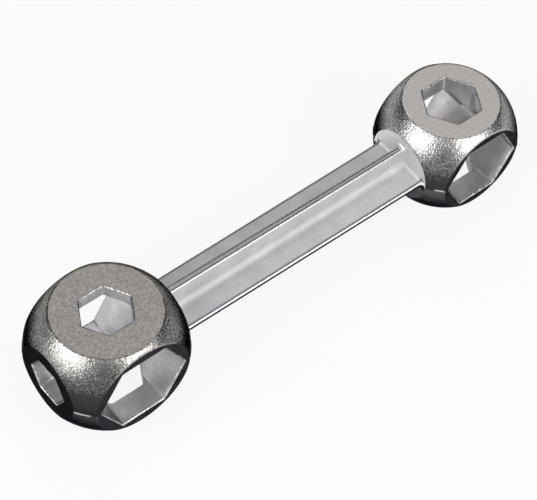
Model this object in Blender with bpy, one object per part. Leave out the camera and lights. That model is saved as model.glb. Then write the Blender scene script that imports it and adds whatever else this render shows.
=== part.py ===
"""Ten-way bicycle spanner: two ball heads with hexagon sockets on a cross-section handle.

The handle runs along X with the large head at -X, and the large head's lower flat lies at Z = 0.
The real tool is one plated casting. It is modelled as its two heads and its handle, which meet
face to face on the flat where each ball ends and the handle starts.
"""

import math
from dataclasses import dataclass

import bmesh
import bpy
from mathutils import Matrix, Vector

MM = 0.001

# Balls that the heads are cut from, and the distance between their centres
LARGE_BALL_RADIUS = 13.6 * MM
SMALL_BALL_RADIUS = 12.7 * MM
CENTRE_DISTANCE = 74.0 * MM

# Flats of each ball, measured from its centre: four round the sides, one at the end, one at the neck
LARGE_SIDE_FLAT = 9.95 * MM
LARGE_END_FLAT = 11.7 * MM
LARGE_NECK_FLAT = 11.7 * MM
SMALL_SIDE_FLAT = 9.4 * MM
SMALL_END_FLAT = 10.75 * MM
SMALL_NECK_FLAT = 10.75 * MM

# Nuts that the sockets take, across their flats
LARGE_TOP_NUT = 8.0 * MM
LARGE_BOTTOM_NUT = 11.0 * MM
LARGE_FRONT_NUT = 14.0 * MM
LARGE_BACK_NUT = 15.0 * MM
LARGE_END_NUT = 7.0 * MM
SMALL_TOP_NUT = 9.0 * MM
SMALL_BOTTOM_NUT = 10.0 * MM
SMALL_FRONT_NUT = 13.0 * MM
SMALL_BACK_NUT = 12.0 * MM
SMALL_END_NUT = 6.0 * MM

# Room for the nut across the flats, and the chamfer round each socket's mouth
SOCKET_CLEARANCE = 0.3 * MM
SOCKET_LEAD_IN = 0.25 * MM

# The front and back cores meet this far in front of the ball's centre, and leave a step there
CORE_JOINT_OFFSET = 1.6 * MM

# Handle: a flat flange on the parting plane, crossed by an upright rib, both tapering along X
FLANGE_WIDTH_AT_LARGE = 11.0 * MM
FLANGE_WIDTH_AT_SMALL = 11.5 * MM
FLANGE_EDGE = 1.05 * MM
RIB_HEIGHT_AT_LARGE = 10.2 * MM
RIB_HEIGHT_AT_SMALL = 9.1 * MM
RIB_EDGE_AT_LARGE = 1.45 * MM
RIB_EDGE_AT_SMALL = 1.15 * MM
MOULD_DRAFT = math.radians(4.0)
ROOT_FILLET = 1.6 * MM
EDGE_ROUND = 0.25 * MM
NECK_FILLET = 0.7 * MM

# Facets
BALL_SEGMENTS = 64
BALL_RINGS = 32
ROUND_STEPS = 4
SHARP_FROM = math.radians(35.0)
CUTTER_OVERRUN = 2.0 * MM

# Places along the handle and above the table
TOTAL_LENGTH = LARGE_END_FLAT + CENTRE_DISTANCE + SMALL_END_FLAT
LARGE_CENTRE_X = LARGE_END_FLAT - TOTAL_LENGTH / 2
SMALL_CENTRE_X = LARGE_CENTRE_X + CENTRE_DISTANCE
AXIS_Z = LARGE_SIDE_FLAT


@dataclass(frozen=True)
class Socket:
    """One hexagon socket: the way its mouth faces, where a corner points, and its nut.

    The core starts at its mouth's flat and ends past the ball's centre, or short of it if negative.
    """

    name: str
    mouth: Vector
    corner: Vector
    flat: float
    past_centre: float
    nut: float


@dataclass(frozen=True)
class Head:
    """One ball head, with its neck facing along X towards the other head."""

    name: str
    centre: Vector
    neck_sign: int
    ball_radius: float
    side_flat: float
    end_flat: float
    neck_flat: float
    sockets: tuple


def head_sockets(neck_sign, side_flat, end_flat, top, bottom, front, back, end):
    """The five sockets of a head, whose cores meet in the middle of the ball."""
    along, across, up = Vector((1, 0, 0)), Vector((0, 1, 0)), Vector((0, 0, 1))
    return (
        Socket("top", up, along, side_flat, 0, top),
        Socket("bottom", -up, along, side_flat, 0, bottom),
        Socket("front", -across, along, side_flat, -CORE_JOINT_OFFSET, front),
        Socket("back", across, along, side_flat, CORE_JOINT_OFFSET, back),
        Socket("end", -neck_sign * along, across, end_flat, 0, end),
    )


LARGE_HEAD = Head(
    name="large_head",
    centre=Vector((LARGE_CENTRE_X, 0, AXIS_Z)),
    neck_sign=1,
    ball_radius=LARGE_BALL_RADIUS,
    side_flat=LARGE_SIDE_FLAT,
    end_flat=LARGE_END_FLAT,
    neck_flat=LARGE_NECK_FLAT,
    sockets=head_sockets(
        1, LARGE_SIDE_FLAT, LARGE_END_FLAT,
        LARGE_TOP_NUT, LARGE_BOTTOM_NUT, LARGE_FRONT_NUT, LARGE_BACK_NUT, LARGE_END_NUT,
    ),
)
SMALL_HEAD = Head(
    name="small_head",
    centre=Vector((SMALL_CENTRE_X, 0, AXIS_Z)),
    neck_sign=-1,
    ball_radius=SMALL_BALL_RADIUS,
    side_flat=SMALL_SIDE_FLAT,
    end_flat=SMALL_END_FLAT,
    neck_flat=SMALL_NECK_FLAT,
    sockets=head_sockets(
        -1, SMALL_SIDE_FLAT, SMALL_END_FLAT,
        SMALL_TOP_NUT, SMALL_BOTTOM_NUT, SMALL_FRONT_NUT, SMALL_BACK_NUT, SMALL_END_NUT,
    ),
)


def clear_scene():
    """Remove what the file opened with."""
    for old in list(bpy.data.objects):
        bpy.data.objects.remove(old, do_unlink=True)


def new_collection(name):
    """A collection linked to the scene."""
    collection = bpy.data.collections.new(name)
    bpy.context.scene.collection.children.link(collection)
    return collection


def plated_metal(name, colour, roughness):
    """Bright plating over a casting, as a Principled material."""
    material = bpy.data.materials.new(name)
    material.use_nodes = True
    shader = material.node_tree.nodes["Principled BSDF"]
    shader.inputs["Base Color"].default_value = (*colour, 1.0)
    shader.inputs["Metallic"].default_value = 1.0
    shader.inputs["Roughness"].default_value = roughness
    return material


def object_from(name, mesh_builder, collection, location=(0, 0, 0)):
    """An object at a location, from a bmesh that is closed here."""
    mesh = bpy.data.meshes.new(name)
    bmesh.ops.recalc_face_normals(mesh_builder, faces=mesh_builder.faces)
    mesh_builder.to_mesh(mesh)
    mesh_builder.free()
    made = bpy.data.objects.new(name, mesh)
    made.location = location
    collection.objects.link(made)
    return made


def add_boolean(target, cutter, operation):
    """Cut or trim the target with another object, which stays as a hidden wire helper."""
    cutter.parent = target
    cutter.location -= target.location
    cutter.hide_render = True
    cutter.display_type = "WIRE"
    modifier = target.modifiers.new(cutter.name, "BOOLEAN")
    modifier.operation = operation
    modifier.solver = "EXACT"
    modifier.object = cutter


def flats_block(head, collection):
    """The block whose six faces trim the ball to its flats."""
    block = bmesh.new()
    bmesh.ops.create_cube(block, size=1.0)
    size = Vector((head.end_flat + head.neck_flat, 2 * head.side_flat, 2 * head.side_flat))
    bmesh.ops.scale(block, vec=size, verts=block.verts)
    shift = Vector((head.neck_sign * (head.neck_flat - head.end_flat) / 2, 0, 0))
    return object_from(head.name + "_flats", block, collection, head.centre + shift)


def socket_core(head, socket, collection):
    """The core of one socket: a hexagon bar from the middle of the ball, flared at the mouth."""
    half_size = (socket.nut + SOCKET_CLEARANCE) / 2
    corner_radius = half_size / math.cos(math.pi / 6)
    flare = SOCKET_LEAD_IN + CUTTER_OVERRUN
    core = bmesh.new()
    hexagon = bmesh.ops.create_circle(core, cap_ends=True, segments=6, radius=corner_radius)
    mouth_face = hexagon["verts"][0].link_faces[0]
    bmesh.ops.translate(core, vec=(0, 0, -socket.past_centre), verts=core.verts)
    for rise, grow in (
        (socket.past_centre + socket.flat - SOCKET_LEAD_IN, 1.0),
        (flare, (half_size + flare) / half_size),
    ):
        extruded = bmesh.ops.extrude_discrete_faces(core, faces=[mouth_face])["faces"][0]
        bmesh.ops.translate(core, vec=(0, 0, rise), verts=extruded.verts)
        bmesh.ops.scale(core, vec=(grow, grow, 1), verts=extruded.verts)
        mouth_face = extruded
    bmesh.ops.holes_fill(core, edges=core.edges)
    # create_circle puts its first corner on +Y, so Y becomes the corner's way and Z the mouth's
    turn = Matrix((socket.corner.cross(socket.mouth), socket.corner, socket.mouth)).transposed()
    bmesh.ops.rotate(core, matrix=turn, verts=core.verts)
    return object_from(f"{head.name}_{socket.name}_core", core, collection, head.centre)


def build_head(head, material, parts, cutters):
    """A ball trimmed to its flats, with its five sockets cored out until they meet."""
    ball = bmesh.new()
    bmesh.ops.create_uvsphere(
        ball, u_segments=BALL_SEGMENTS, v_segments=BALL_RINGS, radius=head.ball_radius
    )
    made = object_from(head.name, ball, parts, head.centre)
    made.data.shade_smooth()
    made.data.materials.append(material)
    add_boolean(made, flats_block(head, cutters), "INTERSECT")
    for socket in head.sockets:
        add_boolean(made, socket_core(head, socket, cutters), "DIFFERENCE")
    return made


def rounded_corner(corner, towards_first, towards_second, radius):
    """Points of the arc that rounds a corner, from the first side to the second."""
    first = (towards_first - corner).normalized()
    second = (towards_second - corner).normalized()
    half_angle = first.angle(second) / 2
    centre = corner + (first + second).normalized() * radius / math.sin(half_angle)
    start = corner + first * radius / math.tan(half_angle) - centre
    turn = math.copysign(math.pi - 2 * half_angle, first.cross(second) * -1)
    return [
        centre + Matrix.Rotation(turn * step / ROUND_STEPS, 2) @ start
        for step in range(ROUND_STEPS + 1)
    ]


def quarter_outline(flange_width, rib_height, rib_edge, grow):
    """The section's outline from the flange's edge to the rib's, in the quarter where Y and Z rise.

    The sides lean by the mould's draft. Growing it moves every side outwards by the same amount.
    """
    flange_tip = Vector((flange_width / 2 + grow, FLANGE_EDGE / 2 + grow))
    rib_tip = Vector((rib_edge / 2 + grow, rib_height / 2 + grow))
    lean = math.tan(MOULD_DRAFT)
    root_y = (rib_tip.x + lean * (rib_tip.y - flange_tip.y - lean * flange_tip.x)) / (1 - lean**2)
    root = Vector((root_y, flange_tip.y + lean * (flange_tip.x - root_y)))
    return (
        rounded_corner(flange_tip, Vector((flange_tip.x, 0)), root, EDGE_ROUND)
        + rounded_corner(root, flange_tip, rib_tip, ROOT_FILLET - grow)
        + rounded_corner(rib_tip, root, Vector((0, rib_tip.y)), EDGE_ROUND)
    )


def section_outline(share, grow):
    """The whole cross section at a share of the way from the large head's neck to the small one's."""
    quarter = quarter_outline(
        FLANGE_WIDTH_AT_LARGE + share * (FLANGE_WIDTH_AT_SMALL - FLANGE_WIDTH_AT_LARGE),
        RIB_HEIGHT_AT_LARGE + share * (RIB_HEIGHT_AT_SMALL - RIB_HEIGHT_AT_LARGE),
        RIB_EDGE_AT_LARGE + share * (RIB_EDGE_AT_SMALL - RIB_EDGE_AT_LARGE),
        grow,
    )
    upper = quarter + [Vector((-p.x, p.y)) for p in reversed(quarter)]
    return upper + [Vector((p.x, -p.y)) for p in reversed(upper)]


def neck_fillet_steps():
    """(distance from the neck's flat, growth of the section) round the fillet, from the flat outwards."""
    angles = [math.pi / 2 * step / ROUND_STEPS for step in range(ROUND_STEPS + 1)]
    return [(NECK_FILLET * (1 - math.cos(a)), NECK_FILLET * (1 - math.sin(a))) for a in angles]


def build_handle(material, parts):
    """The cross section extruded from neck to neck, with a fillet where it leaves each flat."""
    start = LARGE_CENTRE_X + LARGE_NECK_FLAT
    end = SMALL_CENTRE_X - SMALL_NECK_FLAT
    stations = [(start + reach, grow) for reach, grow in neck_fillet_steps()]
    stations += [(end - reach, grow) for reach, grow in reversed(neck_fillet_steps())]
    bar = bmesh.new()
    section = bar.faces.new([bar.verts.new() for _ in section_outline(0, 0)])
    for x, grow in stations:
        if x > start:
            section = bmesh.ops.extrude_discrete_faces(bar, faces=[section])["faces"][0]
        for corner, point in zip(section.verts, section_outline((x - start) / (end - start), grow)):
            corner.co = (x, point.x, point.y)
    bmesh.ops.holes_fill(bar, edges=bar.edges)
    made = object_from("handle", bar, parts, (0, 0, AXIS_Z))
    made.data.shade_smooth()
    made.data.set_sharp_from_angle(angle=SHARP_FROM)
    made.data.materials.append(material)
    return made


def main():
    """Build the two heads and the handle between them."""
    clear_scene()
    parts = new_collection("bicycle_spanner")
    cutters = new_collection("cutters")
    rough_cast = (0.52, 0.515, 0.51)
    build_head(LARGE_HEAD, plated_metal("large_head_plating", rough_cast, 0.42), parts, cutters)
    build_head(SMALL_HEAD, plated_metal("small_head_plating", rough_cast, 0.42), parts, cutters)
    build_handle(plated_metal("handle_plating", (0.64, 0.635, 0.64), 0.34), parts)


if __name__ == "__main__":
    main()
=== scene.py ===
"""Looks of the ten-way bicycle spanner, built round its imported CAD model.

The real tool is one rough casting with satin plating. Each of its two ball heads and its handle is
modelled again here with the fine form that the CAD leaves out: rounded rims, a parting line, uneven
socket walls and the grain of the casting. Sizes are in metres, in the frame of the CAD model.
"""

import logging
import math
from collections.abc import Callable, Iterable, Iterator
from contextlib import contextmanager
from dataclasses import dataclass, replace
from enum import Enum
from functools import cached_property

import bmesh
import bpy
from mathutils import Matrix, Quaternion, Vector


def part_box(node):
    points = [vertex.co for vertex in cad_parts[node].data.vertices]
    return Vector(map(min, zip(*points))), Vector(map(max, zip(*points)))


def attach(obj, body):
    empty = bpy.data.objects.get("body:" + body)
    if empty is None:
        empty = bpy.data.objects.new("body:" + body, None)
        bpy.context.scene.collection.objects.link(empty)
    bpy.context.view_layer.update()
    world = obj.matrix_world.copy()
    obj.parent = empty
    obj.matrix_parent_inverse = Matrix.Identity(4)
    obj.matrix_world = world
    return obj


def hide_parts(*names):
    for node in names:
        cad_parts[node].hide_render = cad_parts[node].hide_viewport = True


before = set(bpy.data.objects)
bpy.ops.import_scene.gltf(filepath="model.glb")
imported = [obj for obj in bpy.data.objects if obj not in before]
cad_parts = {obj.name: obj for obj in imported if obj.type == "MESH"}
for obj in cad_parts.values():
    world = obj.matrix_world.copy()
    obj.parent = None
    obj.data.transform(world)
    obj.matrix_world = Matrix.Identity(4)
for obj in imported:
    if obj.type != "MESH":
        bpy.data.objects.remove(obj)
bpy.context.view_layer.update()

MM = 0.001
IMAGE_WIDTH_PX = 537
BODY = "root"

# A face counts as facing a way when its normal and that way have a cosine above these
EXACTLY = 0.9999
NEARLY = 0.99
ROUGHLY = 0.97
LOOSELY = 0.9

log = logging.getLogger("spanner")


def linear(hex_colour: str) -> tuple[float, float, float, float]:
    """Turn an sRGB hex colour into the linear colour that a socket takes.

    Args:
        hex_colour: six hex digits after a hash sign.

    Returns:
        Linear red, green, blue and an alpha of 1.
    """
    levels = [int(hex_colour[i:i + 2], 16) / 255 for i in (1, 3, 5)]
    return (*[c / 12.92 if c <= 0.04045 else ((c + 0.055) / 1.055) ** 2.4 for c in levels], 1.0)


def direction(azimuth_deg: float, elevation_deg: float) -> Vector:
    """The way that points from the origin to a place in the room.

    Args:
        azimuth_deg: degrees from +Y towards +X.
        elevation_deg: degrees above the horizon.

    Returns:
        A vector of length 1.
    """
    azimuth = math.radians(azimuth_deg)
    elevation = math.radians(elevation_deg)
    level = math.cos(elevation)
    return Vector((level * math.sin(azimuth), level * math.cos(azimuth), math.sin(elevation)))


def per_metre(size_mm: float) -> float:
    """The texture scale that repeats a pattern every so many millimetres."""
    return 1.0 / (size_mm * MM)


def add_node(
    tree: bpy.types.NodeTree,
    kind: str,
    settings: dict[str, object] | None = None,
    values: dict[str | int, object] | None = None,
    links: dict[str | int, bpy.types.NodeSocket] | None = None,
) -> bpy.types.Node:
    """Add a node to a tree with its settings, socket values and incoming links.

    Args:
        tree: the node tree.
        kind: the node's type, such as "ShaderNodeTexNoise".
        settings: node properties by name.
        values: default values of input sockets by name or index.
        links: sockets to connect to input sockets by name or index.

    Returns:
        The new node.
    """
    node = tree.nodes.new(kind)
    for name, value in (settings or {}).items():
        setattr(node, name, value)
    for name, value in (values or {}).items():
        node.inputs[name].default_value = value
    for name, socket in (links or {}).items():
        tree.links.new(socket, node.inputs[name])
    return node


class Element(Enum):
    """What is selected in edit mode."""

    VERTEX = "VERT"
    EDGE = "EDGE"
    FACE = "FACE"


@contextmanager
def edit_mode(
    piece: bpy.types.Object, element: Element = Element.FACE
) -> Iterator[bmesh.types.BMesh]:
    """Edit one object alone, with nothing selected in it.

    Args:
        piece: the mesh object.
        element: what is selected.

    Yields:
        The mesh being edited, for selecting by place or normal.
    """
    select_only(piece)
    bpy.ops.object.mode_set(mode="EDIT")
    bpy.ops.mesh.select_mode(type=element.value)
    bpy.ops.mesh.select_all(action="DESELECT")
    yield bmesh.from_edit_mesh(piece.data)
    bpy.ops.object.mode_set(mode="OBJECT")


def select_only(piece: bpy.types.Object) -> None:
    """Make one object the only selected one, and the active one.

    Args:
        piece: the object.
    """
    bpy.ops.object.select_all(action="DESELECT")
    piece.select_set(True)
    bpy.context.view_layer.objects.active = piece


def select_where(elements: Iterable[object], test: Callable[[object], bool]) -> None:
    """Select the vertices, edges or faces of an edited mesh that pass a test, and no others.

    Args:
        elements: a sequence of one kind of element.
        test: says whether an element is wanted.
    """
    bpy.ops.mesh.select_all(action="DESELECT")
    for element in elements:
        if test(element):
            element.select_set(True)


def apply_modifier(piece: bpy.types.Object, kind: str, **settings: object) -> None:
    """Add a modifier with its settings to a piece and apply it at once.

    Args:
        piece: the mesh object.
        kind: the modifier's type.
        settings: its properties.
    """
    modifier = piece.modifiers.new(kind.title(), kind)
    for name, value in settings.items():
        setattr(modifier, name, value)
    select_only(piece)
    bpy.ops.object.modifier_apply(modifier=modifier.name)


def place_in_mesh(piece: bpy.types.Object, placing: Matrix) -> None:
    """Move an object and write its place into its mesh, so that it sits at the origin.

    Args:
        piece: the mesh object.
        placing: where its mesh goes.
    """
    piece.matrix_world = placing
    select_only(piece)
    bpy.ops.object.transform_apply(location=True, rotation=True, scale=True)


def cloud_texture(name: str, size: float, depth: int) -> bpy.types.Texture:
    """A clouds texture for the Displace modifier.

    Args:
        name: the texture's name.
        size: the size of a lump in metres.
        depth: how many finer layers are added.

    Returns:
        The texture.
    """
    clouds = bpy.data.textures.new(name, "CLOUDS")
    clouds.noise_scale = size
    clouds.noise_depth = depth
    return clouds


class Side(Enum):
    """The six flats of a head, by the way that each faces on a head whose neck is towards +X."""

    TOP = (0, 0, 1)
    BOTTOM = (0, 0, -1)
    FRONT = (0, -1, 0)
    BACK = (0, 1, 0)
    END = (-1, 0, 0)
    NECK = (1, 0, 0)


class Zone(Enum):
    """The kinds of surface on a head, in the order of its material slots."""

    SHELL = 0
    FLAT = 1
    SIDE = 2
    WALL = 3
    RIM = 4
    NECK = 5


class BarZone(Enum):
    """The kinds of surface on the handle, in the order of its material slots."""

    FACE = 0
    EDGE = 1
    RIB_TOP = 2


FLAT_ZONES = {Side.TOP: Zone.FLAT, Side.BOTTOM: Zone.FLAT, Side.NECK: Zone.NECK}


@dataclass(frozen=True)
class PlatedFinish:
    """Satin nickel plating over a casting, whose grain shows through the thin layer.

    Grain is a soft relief, sparkle is the finer one that breaks highlights into points, and stain is
    the slow change of tone over the surface.
    """

    name: str
    colour: str
    stain_colour: str
    roughness: float
    roughness_spread: float
    grain_mm: float
    grain_height_mm: float
    sparkle_mm: float
    sparkle_height_mm: float
    stain_mm: float = 2.5
    edge_tint: str = "#3c3c3c"

    def tone(self, tree: bpy.types.NodeTree, place: bpy.types.NodeSocket) -> bpy.types.NodeSocket:
        """Plating has no hue of its own, only a slow change of tone where the layer thins.

        Args:
            tree: the material's node tree.
            place: the point on the surface.

        Returns:
            The colour socket.
        """
        stain = add_node(
            tree, "ShaderNodeTexNoise",
            values={"Scale": per_metre(self.stain_mm), "Detail": 3.0, "Roughness": 0.6},
            links={"Vector": place},
        )
        patches = add_node(
            tree, "ShaderNodeMapRange", values={"From Min": 0.35, "From Max": 0.65},
            links={"Value": stain.outputs["Fac"]},
        )
        mixed = add_node(
            tree, "ShaderNodeMix", {"data_type": "RGBA"},
            values={6: linear(self.colour), 7: linear(self.stain_colour)},
            links={0: patches.outputs["Result"]},
        )
        return mixed.outputs[2]

    def material(self) -> bpy.types.Material:
        """Build the finish as a node material.

        Returns:
            The material.
        """
        made = bpy.data.materials.new(self.name)
        made.use_nodes = True
        tree = made.node_tree
        shader = tree.nodes["Principled BSDF"]
        shader.inputs["Metallic"].default_value = 1.0
        shader.inputs["Specular Tint"].default_value = linear(self.edge_tint)
        place = add_node(tree, "ShaderNodeTexCoord").outputs["Object"]

        tree.links.new(self.tone(tree, place), shader.inputs["Base Color"])

        # The grain of the mould: lumps about as wide as its sand, with sharper points between them
        grain = add_node(
            tree, "ShaderNodeTexNoise",
            values={"Scale": per_metre(self.grain_mm), "Detail": 2.0, "Roughness": 0.5},
            links={"Vector": place},
        )
        sparkle = add_node(
            tree, "ShaderNodeTexNoise",
            values={"Scale": per_metre(self.sparkle_mm), "Detail": 1.0, "Roughness": 0.5},
            links={"Vector": place},
        )
        coarse = add_node(
            tree, "ShaderNodeBump",
            values={"Strength": 1.0, "Distance": self.grain_height_mm * MM},
            links={"Height": grain.outputs["Fac"]},
        )
        fine = add_node(
            tree, "ShaderNodeBump",
            values={"Strength": 1.0, "Distance": self.sparkle_height_mm * MM},
            links={"Height": sparkle.outputs["Fac"], "Normal": coarse.outputs["Normal"]},
        )
        tree.links.new(fine.outputs["Normal"], shader.inputs["Normal"])

        # Handled metal is a little smoother on some lumps than on others
        gloss = add_node(
            tree, "ShaderNodeMapRange",
            values={
                "To Min": self.roughness - self.roughness_spread,
                "To Max": self.roughness + self.roughness_spread,
            },
            links={"Value": grain.outputs["Fac"]},
        )
        tree.links.new(gloss.outputs["Result"], shader.inputs["Roughness"])
        return made


@dataclass(frozen=True)
class ShellFinish(PlatedFinish):
    """Plating on the balls, bright on their shoulders and dark round their sides.

    The sides are darkened as painted shade, and bright specks thin out between two heights above the
    bench, breaking the edge of the painted highlight on the shoulders. Below the parting line an even
    darker colour is painted shade, standing in for the reflection of a dark ground. The flash on that
    line carries a painted highlight in patches.
    rubbed bright in patches.
    """

    # Painted shade colours for the sides and the lower half, and a painted highlight colour for the flash
    painted_side_shade_colour: str = "#3f3f40"
    painted_low_shade_colour: str = "#5e5e60"
    dark_below_mm: float = 12.5
    bright_above_mm: float = 18.0
    speck_mm: float = 0.36
    speck_reach_mm: float = 7.5
    parting_mm: float = 9.95
    parting_blur_mm: float = 0.25
    flash_painted_highlight_colour: str = "#dcdcdc"
    flash_mm: float = 0.34
    flash_patch_mm: float = 3.0

    def tone(self, tree: bpy.types.NodeTree, place: bpy.types.NodeSocket) -> bpy.types.NodeSocket:
        """The plating's tone, with painted shade towards the sides of the ball and below the parting line.

        Args:
            tree: the material's node tree.
            place: the point on the surface.

        Returns:
            The colour socket.
        """
        bright = super().tone(tree, place)
        height = add_node(tree, "ShaderNodeSeparateXYZ", links={0: place}).outputs["Z"]
        specks = add_node(
            tree, "ShaderNodeTexNoise",
            values={"Scale": per_metre(self.speck_mm), "Detail": 2.0}, links={"Vector": place},
        )
        wavering = add_node(
            tree, "ShaderNodeMath", {"operation": "MULTIPLY_ADD"},
            values={1: self.speck_reach_mm * MM}, links={0: specks.outputs["Fac"], 2: height},
        )
        offset = add_node(
            tree, "ShaderNodeMath", {"operation": "SUBTRACT"},
            values={1: self.parting_mm * MM}, links={0: height},
        )
        away = add_node(
            tree, "ShaderNodeMath", {"operation": "ABSOLUTE"}, links={0: offset.outputs["Value"]}
        )
        # Smooth steps between two heights, and between two distances from the parting line
        middle = self.speck_reach_mm / 2
        spans = {
            "shoulder": (
                wavering.outputs["Value"], self.dark_below_mm + middle, self.bright_above_mm + middle
            ),
            "upper half": (height, self.parting_mm - self.parting_blur_mm, self.parting_mm),
            "parting line": (away.outputs["Value"], self.flash_mm, 0.0),
        }
        shares = {
            name: add_node(
                tree, "ShaderNodeMapRange", {"interpolation_type": "SMOOTHSTEP"},
                values={"From Min": start * MM, "From Max": end * MM}, links={"Value": value},
            ).outputs["Result"]
            for name, (value, start, end) in spans.items()
        }
        # The thin flash on the parting line gets a painted highlight in patches
        patches = add_node(
            tree, "ShaderNodeTexNoise",
            values={"Scale": per_metre(self.flash_patch_mm), "Detail": 2.0}, links={"Vector": place},
        )
        flash_highlight_patches = add_node(
            tree, "ShaderNodeMapRange", values={"From Min": 0.48, "From Max": 0.58},
            links={"Value": patches.outputs["Fac"]},
        )
        flash_highlight = add_node(
            tree, "ShaderNodeMath", {"operation": "MULTIPLY"},
            links={0: shares["parting line"], 1: flash_highlight_patches.outputs["Result"]},
        )
        # Painted shade on the sides of the ball, leaving the bright plating on the shoulders as a painted
        # highlight
        shoulder = add_node(
            tree, "ShaderNodeMix", {"data_type": "RGBA"},
            values={6: linear(self.painted_side_shade_colour)}, links={0: shares["shoulder"], 7: bright},
        )
        # Painted shade below the parting line, standing in for the reflection of a dark ground
        halves = add_node(
            tree, "ShaderNodeMix", {"data_type": "RGBA"},
            values={6: linear(self.painted_low_shade_colour)}, links={0: shares["upper half"], 7: shoulder.outputs[2]},
        )
        whole = add_node(
            tree, "ShaderNodeMix", {"data_type": "RGBA"}, values={7: linear(self.flash_painted_highlight_colour)},
            links={0: flash_highlight.outputs["Value"], 6: halves.outputs[2]},
        )
        return whole.outputs[2]


@dataclass(frozen=True)
class LinedFinish(PlatedFinish):
    """Plating on a face of the handle that ends in a fine dark line of painted shade at its two long
    edges.

    The line starts and ends at distances from the handle's axis, which grow with X by the taper.
    """

    painted_shade_line_colour: str = "#8c8c8e"
    line_start_mm: float = 4.95
    line_end_mm: float = 5.3
    taper: float = 0.005

    def tone(self, tree: bpy.types.NodeTree, place: bpy.types.NodeSocket) -> bpy.types.NodeSocket:
        """The plating's tone, with a line of painted shade along the edges.

        Args:
            tree: the material's node tree.
            place: the point on the surface.

        Returns:
            The colour socket.
        """
        plain = super().tone(tree, place)
        axes = add_node(tree, "ShaderNodeSeparateXYZ", links={0: place})
        across = add_node(
            tree, "ShaderNodeMath", {"operation": "ABSOLUTE"}, links={0: axes.outputs["Y"]}
        )
        tapered = add_node(
            tree, "ShaderNodeMath", {"operation": "MULTIPLY_ADD"},
            values={1: -self.taper}, links={0: axes.outputs["X"], 2: across.outputs["Value"]},
        )
        line = add_node(
            tree, "ShaderNodeMapRange", {"interpolation_type": "SMOOTHSTEP"},
            values={"From Min": self.line_start_mm * MM, "From Max": self.line_end_mm * MM},
            links={"Value": tapered.outputs["Value"]},
        )
        # Painted shade: a dark line along the long edges
        lined = add_node(
            tree, "ShaderNodeMix", {"data_type": "RGBA"}, values={7: linear(self.painted_shade_line_colour)},
            links={0: line.outputs["Result"], 6: plain},
        )
        return lined.outputs[2]


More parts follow.
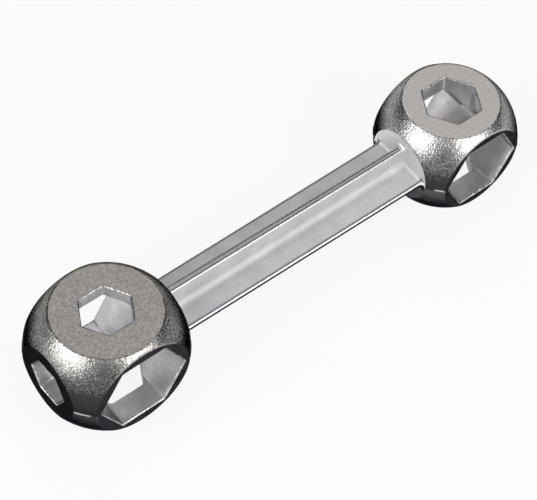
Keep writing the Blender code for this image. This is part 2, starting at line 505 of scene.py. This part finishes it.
@dataclass(frozen=True)
class BallHead:
    """A ball trimmed to six flats, with a hexagon socket in each but the neck's."""

    node: str
    neck_sign: int
    ball_radius: float
    nuts_mm: dict[Side, float]
    socket_clearance: float = 0.3 * MM
    core_joint_offset: float = 1.6 * MM
    core_overlap: float = 0.2 * MM
    rim_drop: float = 0.12 * MM
    rim_width: float = 0.28 * MM
    rim_fade: float = 0.6 * MM
    weld: float = 0.04 * MM
    cut_threshold: float = 0.0001 * MM
    mouth_round: float = 0.28 * MM
    corner_round: float = 0.3 * MM
    wall_wave: float = 0.05 * MM
    wall_wave_size: float = 1.6 * MM
    grain_height: float = 0.05 * MM
    grain_size: float = 0.45 * MM
    flash_height: float = 0.08 * MM
    shell_segments: int = 320
    shell_rings: int = 160
    core_cuts: int = 5
    shade_angle: float = math.radians(24.0)
    touching: float = 0.01 * MM
    seam_reach: float = 0.02 * MM
    shell_depth: float = 0.25 * MM
    mouth_depth: float = 0.4 * MM
    core_overshoot: tuple[float, float] = (1.0 * MM, 1.5 * MM)

    @cached_property
    def centre(self) -> Vector:
        """The ball's centre, which is the middle of the CAD node."""
        low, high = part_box(self.node)
        return (low + high) / 2

    @cached_property
    def half_size(self) -> Vector:
        """Half the size of the CAD node along each axis."""
        low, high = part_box(self.node)
        return (high - low) / 2

    def facing(self, side: Side) -> Vector:
        """The outward direction of a flat."""
        x, y, z = side.value
        return Vector((x * self.neck_sign, y, z))

    def flat(self, side: Side) -> float:
        """The distance of a flat from the ball's centre, from the CAD node's box."""
        return abs(self.facing(side).dot(self.half_size))

    def build(self, materials: dict[Zone, bpy.types.Material]) -> bpy.types.Object:
        """Model the head and dress it.

        Args:
            materials: the finish of each zone.

        Returns:
            The finished piece.
        """
        piece = self.trimmed_ball()
        self.raise_parting_line(piece)
        self.grain_shell(piece)
        for side in self.nuts_mm:
            core = self.socket_core(side)
            apply_modifier(piece, "BOOLEAN", object=core, operation="DIFFERENCE", solver="EXACT")
            bpy.data.objects.remove(core, do_unlink=True)
        self.dress(piece, materials)
        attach(piece, BODY)
        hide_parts(self.node)
        return piece

    def trimmed_ball(self) -> bpy.types.Object:
        """The ball with its flats cut and their rims rounded.

        Returns:
            The mesh object.
        """
        # The poles point along the handle, where the end and neck flats cut them away
        bpy.ops.mesh.primitive_uv_sphere_add(
            segments=self.shell_segments, ring_count=self.shell_rings, radius=self.ball_radius
        )
        piece = bpy.context.object
        piece.name = self.node + "_casting"
        piece.data.name = piece.name
        along = Matrix.Rotation(math.pi / 2, 4, "Y")
        place_in_mesh(piece, Matrix.Translation(self.centre) @ along)
        for side in Side:
            self.cut_flat(piece, side)
        return piece

    def cut_flat(self, piece: bpy.types.Object, side: Side) -> None:
        """Slice the ball below a flat, then raise the flat from the cut in two insets.

        Args:
            piece: the ball.
            side: which flat.
        """
        facing = self.facing(side)
        cut = self.flat(side) - self.rim_drop
        with edit_mode(piece) as mesh:
            bpy.ops.mesh.select_all(action="SELECT")
            bpy.ops.mesh.bisect(
                plane_co=self.centre + facing * cut, plane_no=facing,
                use_fill=True, clear_outer=True, threshold=self.cut_threshold,
            )
            # Short edges collapse to their middles, which is the same in every run
            select_where(self.cut_face(mesh, facing).edges, lambda e: e.calc_length() < self.weld)
            bpy.ops.mesh.merge(type="COLLAPSE")
            fill = self.cut_face(mesh, facing)
            select_where(mesh.faces, lambda f: f == fill)
            for width_share, rise_share in ((0.4, 0.65), (0.6, 0.35)):
                bpy.ops.mesh.inset(thickness=self.rim_width * width_share, depth=0.0)
                bpy.ops.transform.translate(value=facing * self.rim_drop * rise_share)

    def cut_face(self, mesh: bmesh.types.BMesh, facing: Vector) -> bmesh.types.BMFace:
        """The face that fills a flat's cut, which has the most corners of those that face its way."""
        level = [f for f in mesh.faces if f.normal.dot(facing) > EXACTLY]
        return max(level, key=lambda f: len(f.verts))

    def on_shell(self, place: Vector) -> bool:
        """Whether a point of the trimmed ball lies on its round part."""
        return (place - self.centre).length > self.ball_radius - self.touching

    def rim_distance(self, place: Vector) -> float:
        """How far inside the nearest flat's cut a point lies."""
        away = place - self.centre
        return min(self.flat(side) - self.rim_drop - away.dot(self.facing(side)) for side in Side)

    def raise_parting_line(self, piece: bpy.types.Object) -> None:
        """Lift the thin line of flash that the halves of the mould left round the ball.

        Args:
            piece: the trimmed ball.
        """
        level = self.centre.z
        with edit_mode(piece, Element.VERTEX) as mesh:
            select_where(
                mesh.verts,
                lambda v: abs(v.co.z - level) < self.seam_reach
                and self.rim_distance(v.co) > self.flash_height,
            )
            bpy.ops.transform.shrink_fatten(value=self.flash_height)

    def grain_shell(self, piece: bpy.types.Object) -> None:
        """Give the round part the fine lumps of a rough casting, fading out towards the rims.

        Args:
            piece: the trimmed ball.
        """
        group = piece.vertex_groups.new(name="shell")
        for vertex in piece.data.vertices:
            if self.on_shell(vertex.co):
                weight = min(self.rim_distance(vertex.co) / self.rim_fade, 1.0)
                group.add([vertex.index], max(weight, 0.0), "REPLACE")
        apply_modifier(
            piece, "DISPLACE",
            texture=cloud_texture(self.node + "_grain", self.grain_size, 1),
            texture_coords="LOCAL", vertex_group=group.name, strength=self.grain_height, mid_level=0.6,
        )

    def socket_core(self, side: Side) -> bpy.types.Object:
        """The core that leaves a socket: an uneven hexagon bar, flared at the mouth.

        Args:
            side: the flat that the socket opens in.

        Returns:
            The cutter.
        """
        half = (self.nuts_mm[side] * MM + self.socket_clearance) / 2
        joints = {Side.FRONT: self.core_joint_offset, Side.BACK: -self.core_joint_offset}
        start = joints.get(side, 0.0) - self.core_overlap
        mouth = self.flat(side)
        shaft_end = mouth - self.mouth_round
        middle = (start + shaft_end) / 2
        bpy.ops.mesh.primitive_cylinder_add(
            vertices=6, radius=half / math.cos(math.pi / 6), depth=shaft_end - start,
            location=(0, 0, middle),
        )
        core = bpy.context.object
        core.name = f"{self.node}_{side.name.lower()}_core"
        place_in_mesh(core, core.matrix_world.copy())
        with edit_mode(core, Element.EDGE) as mesh:
            select_where(
                mesh.edges, lambda e: min(v.co.z for v in e.verts) < middle < max(v.co.z for v in e.verts)
            )
            bpy.ops.mesh.bevel(offset=self.corner_round, segments=3, affect="EDGES")
        with edit_mode(core) as mesh:
            select_where(mesh.faces, lambda f: f.normal.z > LOOSELY)
            width = half
            for rise, growth in self.mouth_profile():
                bpy.ops.mesh.extrude_region_move(TRANSFORM_OT_translate={"value": (0, 0, rise)})
                scale = (width + growth) / width
                bpy.ops.transform.resize(value=(scale, scale, 1), center_override=(0, 0, 0))
                width += growth
            bpy.ops.mesh.select_all(action="SELECT")
            bpy.ops.mesh.subdivide(number_cuts=self.core_cuts)
        apply_modifier(
            core, "DISPLACE", texture=cloud_texture(core.name, self.wall_wave_size, 1),
            texture_coords="LOCAL", strength=self.wall_wave, mid_level=0.5,
        )
        corner = Vector((0, 1, 0)) if side is Side.END else Vector((1, 0, 0))
        facing = self.facing(side)
        turn = Matrix((corner.cross(facing), corner, facing)).transposed().to_4x4()
        place_in_mesh(core, Matrix.Translation(self.centre) @ turn)
        return core

    def mouth_profile(self) -> list[tuple[float, float]]:
        """How the core widens at its mouth, so that it leaves a rounded rim.

        Returns:
            The rise and the growth of each step. The last step goes past the flat.
        """
        shares = ((0.5, 0.15), (0.3, 0.3), (0.2, 0.45))
        steps = [(rise * self.mouth_round, grow * self.mouth_round) for rise, grow in shares]
        return steps + [self.core_overshoot]

    def zone_of(self, face: bpy.types.MeshPolygon) -> Zone:
        """Which kind of surface a face belongs to, by its place and normal.

        Args:
            face: a face of the finished head.

        Returns:
            The zone.
        """
        place = face.center - self.centre
        for side in Side:
            facing = self.facing(side)
            below = self.flat(side) - place.dot(facing)
            if below < self.touching and face.normal.dot(facing) > NEARLY:
                return FLAT_ZONES.get(side, Zone.SIDE)
            in_mouth = below < self.mouth_round and place.length < self.ball_radius - self.mouth_depth
            if side in self.nuts_mm and in_mouth:
                return Zone.RIM
        return Zone.SHELL if place.length > self.ball_radius - self.shell_depth else Zone.WALL

    def dress(self, piece: bpy.types.Object, materials: dict[Zone, bpy.types.Material]) -> None:
        """Give each face the finish of its zone, and smooth the round faces.

        Args:
            piece: the finished head.
            materials: the finish of each zone.
        """
        piece.data.materials.clear()
        for zone in Zone:
            piece.data.materials.append(materials[zone])
        select_only(piece)
        bpy.ops.object.shade_smooth_by_angle(angle=self.shade_angle)
        for face in piece.data.polygons:
            zone = self.zone_of(face)
            face.material_index = zone.value
            face.use_smooth = zone in (Zone.SHELL, Zone.WALL, Zone.RIM)


@dataclass(frozen=True)
class CrossHandle:
    """The tapered bar between the heads: a flat flange crossed by an upright rib."""

    node: str = "handle"
    flange_width_large: float = 11.0 * MM
    flange_width_small: float = 11.5 * MM
    flange_edge: float = 1.05 * MM
    rib_height_large: float = 10.2 * MM
    rib_height_small: float = 9.1 * MM
    rib_edge_large: float = 1.45 * MM
    rib_edge_small: float = 1.15 * MM
    mould_draft: float = math.radians(4.0)
    root_fillet: float = 1.6 * MM
    edge_round: float = 0.25 * MM
    neck_fillet: float = 0.7 * MM
    arc_steps: int = 10
    station_step: float = 0.6 * MM
    shade_angle: float = math.radians(30.0)

    @cached_property
    def corners(self) -> tuple[Vector, Vector]:
        """The low and high corners of the CAD node's box."""
        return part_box(self.node)

    def build(self, materials: dict[BarZone, bpy.types.Material]) -> bpy.types.Object:
        """Model the handle and dress it.

        Args:
            materials: the finish of each zone.

        Returns:
            The finished piece.
        """
        piece = self.bar()
        for zone in BarZone:
            piece.data.materials.append(materials[zone])
        for face in piece.data.polygons:
            face.material_index = self.zone_of(face).value
        select_only(piece)
        bpy.ops.object.shade_smooth_by_angle(angle=self.shade_angle)
        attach(piece, BODY)
        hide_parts(self.node)
        return piece

    def zone_of(self, face: bpy.types.MeshPolygon) -> BarZone:
        """Which kind of surface a face belongs to, by its place and normal.

        Args:
            face: a face of the finished bar.

        Returns:
            The zone.
        """
        low, high = self.corners
        flange, rib = self.reach((face.center.x - low.x) / (high.x - low.x))
        past_flange = abs(face.center.y) - flange / 2 + self.edge_round
        past_rib = abs(face.center.z - (low.z + high.z) / 2) - rib / 2 + self.edge_round
        level = abs(face.normal.z)
        if past_rib > 0 and level > NEARLY:
            return BarZone.RIB_TOP
        if past_rib > 0 or (past_flange > 0 and level < ROUGHLY):
            return BarZone.EDGE
        return BarZone.FACE

    def bar(self) -> bpy.types.Object:
        """Extrude the cross section from neck to neck.

        Returns:
            The mesh object.
        """
        low, high = self.corners
        stations = self.stations(high.x - low.x)
        axis_z = (low.z + high.z) / 2
        outline = self.section(0.0, 0.0)
        bpy.ops.mesh.primitive_circle_add(vertices=len(outline), fill_type="NGON")
        piece = bpy.context.object
        piece.name = self.node + "_casting"
        piece.data.name = piece.name
        with edit_mode(piece) as mesh:
            bpy.ops.mesh.select_all(action="SELECT")
            for number, (reach, grow) in enumerate(stations):
                if number:
                    bpy.ops.mesh.extrude_region_move()
                section = self.section(reach / (high.x - low.x), grow)
                end_face = next(f for f in mesh.faces if f.select)
                for corner, point in zip(end_face.verts, section):
                    corner.co = (low.x + reach, point.x, axis_z + point.y)
            bpy.ops.mesh.select_all(action="SELECT")
            bpy.ops.mesh.normals_make_consistent(inside=False)
        return piece

    def stations(self, length: float) -> list[tuple[float, float]]:
        """Places along the bar, close together in the fillets at the necks.

        Args:
            length: the distance between the necks.

        Returns:
            The distance of each from the large head's neck, and the growth of the section there.
        """
        steps = self.arc_steps
        turns = [math.pi / 2 * i / steps for i in range(steps + 1)]
        fillet = [
            (self.neck_fillet * (1 - math.cos(turn)), self.neck_fillet * (1 - math.sin(turn)))
            for turn in turns
        ]
        run = length - 2 * self.neck_fillet
        count = round(run / self.station_step)
        middle = [(self.neck_fillet + run * i / count, 0.0) for i in range(1, count)]
        return fillet + middle + [(length - reach, grow) for reach, grow in reversed(fillet)]

    def reach(self, share: float) -> tuple[float, float]:
        """How far the section reaches at a place along the bar.

        Args:
            share: how far along the bar, from 0 at the large head to 1 at the small one.

        Returns:
            The width of the flange and the height of the rib.
        """
        flange = self.flange_width_large + share * (self.flange_width_small - self.flange_width_large)
        rib = self.rib_height_large + share * (self.rib_height_small - self.rib_height_large)
        return flange, rib

    def section(self, share: float, grow: float) -> list[Vector]:
        """The outline of the cross section.

        Args:
            share: how far along the bar, from 0 at the large head to 1 at the small one.
            grow: how far every side is moved outwards.

        Returns:
            Points (y, z) round the outline, from the flange's +Y edge towards the rib's top.
        """
        flange, rib = self.reach(share)
        rib_edge = self.rib_edge_large + share * (self.rib_edge_small - self.rib_edge_large)
        flange_tip = Vector((flange / 2 + grow, self.flange_edge / 2 + grow))
        rib_tip = Vector((rib_edge / 2 + grow, rib / 2 + grow))
        lean = math.tan(self.mould_draft)
        root_y = (rib_tip.x + lean * (rib_tip.y - flange_tip.y - lean * flange_tip.x)) / (1 - lean**2)
        root = Vector((root_y, flange_tip.y + lean * (flange_tip.x - root_y)))
        quarter = (
            self.arc(flange_tip, Vector((flange_tip.x, 0)), root, self.edge_round)
            + self.arc(root, flange_tip, rib_tip, self.root_fillet - grow)
            + self.arc(rib_tip, root, Vector((0, rib_tip.y)), self.edge_round)
        )
        upper = quarter + [Vector((-p.x, p.y)) for p in reversed(quarter)]
        return upper + [Vector((p.x, -p.y)) for p in reversed(upper)]

    def arc(self, corner: Vector, first: Vector, second: Vector, radius: float) -> list[Vector]:
        """Points of the arc that rounds a corner.

        Args:
            corner: the sharp corner.
            first: a point on the side that leads to it.
            second: a point on the side that leaves it.
            radius: the arc's radius.

        Returns:
            Points from the first side to the second.
        """
        back = (first - corner).normalized()
        on = (second - corner).normalized()
        half_angle = back.angle(on) / 2
        centre = corner + (back + on).normalized() * radius / math.sin(half_angle)
        start = corner + back * radius / math.tan(half_angle) - centre
        turn = math.copysign(math.pi - 2 * half_angle, on.cross(back))
        return [
            centre + Matrix.Rotation(turn * i / self.arc_steps, 2) @ start
            for i in range(self.arc_steps + 1)
        ]


@dataclass(frozen=True)
class Softbox:
    """A rectangular lamp that faces the tool.

    Radiance is what a mirror in the tool's place would show.
    """

    name: str
    azimuth_deg: float
    elevation_deg: float
    distance: float
    width: float
    height: float
    radiance: float

    def build(self) -> None:
        """Add the lamp to the scene."""
        lamp = bpy.data.lights.new(self.name, "AREA")
        lamp.shape = "RECTANGLE"
        lamp.size = self.width
        lamp.size_y = self.height
        lamp.energy = self.radiance * math.pi * self.width * self.height
        away = direction(self.azimuth_deg, self.elevation_deg)
        stand = bpy.data.objects.new(self.name, lamp)
        stand.location = away * self.distance
        stand.rotation_euler = (-away).to_track_quat("-Z", "Y").to_euler()
        bpy.context.scene.collection.objects.link(stand)


@dataclass(frozen=True)
class Studio:
    """The floor, the light and the camera round the tool."""

    aim: Vector = Vector((-3.36 * MM, -0.74 * MM, 9.95 * MM))
    camera_distance: float = 349.04 * MM
    camera_azimuth_deg: float = 43.25
    camera_elevation_deg: float = 52.79
    camera_roll_deg: float = 4.89
    focal_px: float = 2081.5
    sensor_width_mm: float = 36.0
    floor_size: float = 8.0
    floor_drop: float = 0.4 * MM
    floor_colour: str = "#f4f4f4"
    floor_glow: float = 0.88
    near_room_colour: str = "#969696"
    far_room_colour: str = "#2c2c2c"

    def build(self, lamps: list[Softbox]) -> None:
        """Set up the whole studio.

        Args:
            lamps: the lamps.
        """
        scene = bpy.context.scene
        scene.view_settings.view_transform = "Standard"
        self.lay_floor()
        self.light_world()
        for lamp in lamps:
            lamp.build()
        self.stand_camera()

    def lay_floor(self) -> None:
        """Lay the pale paper that the tool lies on."""
        bpy.ops.mesh.primitive_plane_add(size=self.floor_size, location=(0, 0, -self.floor_drop))
        floor = bpy.context.object
        floor.name = "floor"
        paper = bpy.data.materials.new("white_paper")
        paper.use_nodes = True
        tree = paper.node_tree
        shader = tree.nodes["Principled BSDF"]
        shader.inputs["Base Color"].default_value = linear(self.floor_colour)
        shader.inputs["Roughness"].default_value = 0.9
        shader.inputs["Specular IOR Level"].default_value = 0.0
        # Paper lit from behind as well: the eye, the metal and what is seen through it all get that glow
        rays = add_node(tree, "ShaderNodeLightPath")
        seen = rays.outputs["Is Camera Ray"]
        for kind in ("Is Glossy Ray", "Is Transmission Ray"):
            seen = add_node(
                tree, "ShaderNodeMath", {"operation": "MAXIMUM"}, links={0: seen, 1: rays.outputs[kind]}
            ).outputs["Value"]
        share = add_node(
            tree, "ShaderNodeMath", {"operation": "MULTIPLY"}, values={1: self.floor_glow}, links={0: seen}
        )
        glow = add_node(tree, "ShaderNodeEmission", values={"Strength": 1.0})
        both = add_node(
            tree, "ShaderNodeMixShader",
            links={0: share.outputs["Value"], 1: shader.outputs["BSDF"], 2: glow.outputs["Emission"]},
        )
        tree.links.new(both.outputs["Shader"], tree.nodes["Material Output"].inputs["Surface"])
        floor.data.materials.append(paper)

    def light_world(self) -> None:
        """Fill the room with soft light that falls off towards its far side."""
        world = bpy.data.worlds.new("room")
        world.use_nodes = True
        tree = world.node_tree
        depth = add_node(
            tree, "ShaderNodeVectorMath", {"operation": "DOT_PRODUCT"},
            values={1: direction(self.camera_azimuth_deg, 0.0)},
            links={0: add_node(tree, "ShaderNodeTexCoord").outputs["Generated"]},
        )
        share = add_node(
            tree, "ShaderNodeMapRange", {"interpolation_type": "SMOOTHSTEP"},
            values={"From Min": -0.3, "From Max": 0.3}, links={"Value": depth.outputs["Value"]},
        )
        colour = add_node(
            tree, "ShaderNodeMix", {"data_type": "RGBA"},
            values={6: linear(self.near_room_colour), 7: linear(self.far_room_colour)},
            links={0: share.outputs["Result"]},
        )
        tree.links.new(colour.outputs[2], tree.nodes["Background"].inputs["Color"])
        bpy.context.scene.world = world

    def stand_camera(self) -> None:
        """Put the camera where the photograph was taken from."""
        ahead = direction(self.camera_azimuth_deg, -self.camera_elevation_deg)
        lens = bpy.data.cameras.new("camera")
        lens.sensor_fit = "HORIZONTAL"
        lens.sensor_width = self.sensor_width_mm
        lens.lens = self.focal_px * self.sensor_width_mm / IMAGE_WIDTH_PX
        lens.clip_start = 0.01
        camera = bpy.data.objects.new("camera", lens)
        camera.location = self.aim - ahead * self.camera_distance
        turn = ahead.to_track_quat("-Z", "Y") @ Quaternion((0, 0, 1), math.radians(self.camera_roll_deg))
        camera.rotation_euler = turn.to_euler()
        bpy.context.scene.collection.objects.link(camera)
        bpy.context.scene.camera = camera


# Rough-cast shell: bright satin plating broken into points by the sand of the mould, with painted shade on
# its sides and below the parting line
LARGE_SHELL = ShellFinish(
    "sand_cast_nickel_plate", "#c8c6c3", "#b2b0ac", 0.26, 0.05,
    grain_mm=0.4, grain_height_mm=0.08, sparkle_mm=0.22, sparkle_height_mm=0.03, edge_tint="#000000",
    dark_below_mm=13.8, bright_above_mm=21.8,
)
# The small ball is lower, so the heights of its painted highlight and painted shade are too, and it is a
# little brighter
SMALL_SHELL = replace(
    LARGE_SHELL, name="sand_cast_nickel_plate_small", colour="#d6d5d4", stain_colour="#c2c1bf",
    dark_below_mm=12.4, bright_above_mm=19.6,
)
# Linished flats: the same plating over a ground face, which is matte and mottled
LARGE_FLAT = PlatedFinish(
    "linished_nickel_plate", "#b8b3af", "#969290", 0.45, 0.05,
    grain_mm=0.4, grain_height_mm=0.06, sparkle_mm=0.22, sparkle_height_mm=0.03, stain_mm=0.45,
)
# The small head's flats are more finely ground, so they are paler and more even
SMALL_FLAT = replace(
    LARGE_FLAT, name="fine_linished_nickel_plate", colour="#cecac8", stain_colour="#bcb9b6",
    grain_height_mm=0.03, sparkle_height_mm=0.012,
)
# Side flats: as cast, and darkened as painted shade, standing in for the dark reflections they show
SIDE = PlatedFinish(
    "thin_nickel_plate", "#59595b", "#4e4e50", 0.32, 0.04,
    grain_mm=0.5, grain_height_mm=0.03, sparkle_mm=0.25, sparkle_height_mm=0.008, edge_tint="#101010",
)
# Socket walls: as cast against a smooth core
WALL = PlatedFinish(
    "core_cast_nickel_plate", "#d8d7d9", "#c6c5c5", 0.42, 0.05,
    grain_mm=1.0, grain_height_mm=0.05, sparkle_mm=0.35, sparkle_height_mm=0.015, edge_tint="#8c8c8c",
)
# Rims of the sockets: rubbed bright by nuts
RIM = PlatedFinish(
    "rubbed_nickel_plate", "#dad9d7", "#9c9b99", 0.28, 0.08,
    grain_mm=0.6, grain_height_mm=0.10, sparkle_mm=0.3, sparkle_height_mm=0.03, stain_mm=0.8,
)
# Handle: cast in the smooth part of the mould, and brightest, with a fine line of painted shade along the
# flange's long edges
BAR = LinedFinish(
    "smooth_cast_nickel_plate", "#e6e5e7", "#d9d8da", 0.66, 0.04,
    grain_mm=1.2, grain_height_mm=0.04, sparkle_mm=0.4, sparkle_height_mm=0.012, stain_mm=5.0,
    edge_tint="#8c8c8c",
)
# Tops of the rib: ground like the heads' flats, and mottled, with a dark line of painted shade along each
# edge
RIB_TOP = LinedFinish(
    "ground_nickel_plate", "#bdbabc", "#9f9c9e", 0.45, 0.05,
    grain_mm=0.4, grain_height_mm=0.06, sparkle_mm=0.22, sparkle_height_mm=0.03, stain_mm=0.45,
    painted_shade_line_colour="#525254", line_start_mm=0.16, line_end_mm=0.36, taper=-0.003,
)
# Edges of the handle: a painted highlight down to the parting line, and painted shade below it
EDGE = ShellFinish(
    "rubbed_edge_nickel_plate", "#f4f3f5", "#dddcde", 0.28, 0.08,
    grain_mm=0.6, grain_height_mm=0.03, sparkle_mm=0.3, sparkle_height_mm=0.01, stain_mm=0.8,
    edge_tint="#b4b4b4", painted_side_shade_colour="#f4f3f5", painted_low_shade_colour="#1c1c1e",
    parting_mm=10.2, parting_blur_mm=0.08, flash_mm=0.05,
)
# Neck flats: the handle's bright finish above the parting line, and painted shade below it
NECK = ShellFinish(
    "neck_nickel_plate", "#f6f5f7", "#efeef0", 0.58, 0.04,
    grain_mm=1.2, grain_height_mm=0.04, sparkle_mm=0.4, sparkle_height_mm=0.012,
    edge_tint="#8c8c8c", painted_side_shade_colour="#ebeaec",
)

LAMPS = [
    Softbox(
        "left_softbox", azimuth_deg=-86.0, elevation_deg=26.0, distance=0.45,
        width=0.34, height=0.34, radiance=3.4,
    ),
    Softbox(
        "right_softbox", azimuth_deg=170.0, elevation_deg=30.0, distance=0.45,
        width=0.34, height=0.32, radiance=3.0,
    ),
    Softbox(
        "far_softbox", azimuth_deg=43.0, elevation_deg=60.0, distance=0.60,
        width=0.64, height=0.58, radiance=1.05,
    ),
]


def main() -> None:
    """Build the tool piece by piece, then the studio round it."""
    logging.basicConfig(level=logging.INFO, format="%(name)s: %(message)s")
    shared = {
        Zone.SIDE: SIDE.material(), Zone.WALL: WALL.material(),
        Zone.RIM: RIM.material(), Zone.NECK: NECK.material(),
    }
    large = shared | {Zone.SHELL: LARGE_SHELL.material(), Zone.FLAT: LARGE_FLAT.material()}
    small = shared | {Zone.SHELL: SMALL_SHELL.material(), Zone.FLAT: SMALL_FLAT.material()}
    large_nuts = {Side.TOP: 8, Side.BOTTOM: 11, Side.FRONT: 14, Side.BACK: 15, Side.END: 7}
    small_nuts = {Side.TOP: 9, Side.BOTTOM: 10, Side.FRONT: 13, Side.BACK: 12, Side.END: 6}
    heads = [
        (BallHead("large_head", 1, 13.6 * MM, large_nuts), large),
        (BallHead("small_head", -1, 12.7 * MM, small_nuts), small),
    ]
    for head, finishes in heads:
        piece = head.build(finishes)
        log.info("%s has %d faces", piece.name, len(piece.data.polygons))
    handle = CrossHandle().build({
        BarZone.FACE: BAR.material(), BarZone.EDGE: EDGE.material(), BarZone.RIB_TOP: RIB_TOP.material(),
    })
    log.info("%s has %d faces", handle.name, len(handle.data.polygons))
    Studio().build(LAMPS)


if __name__ == "__main__":
    main()
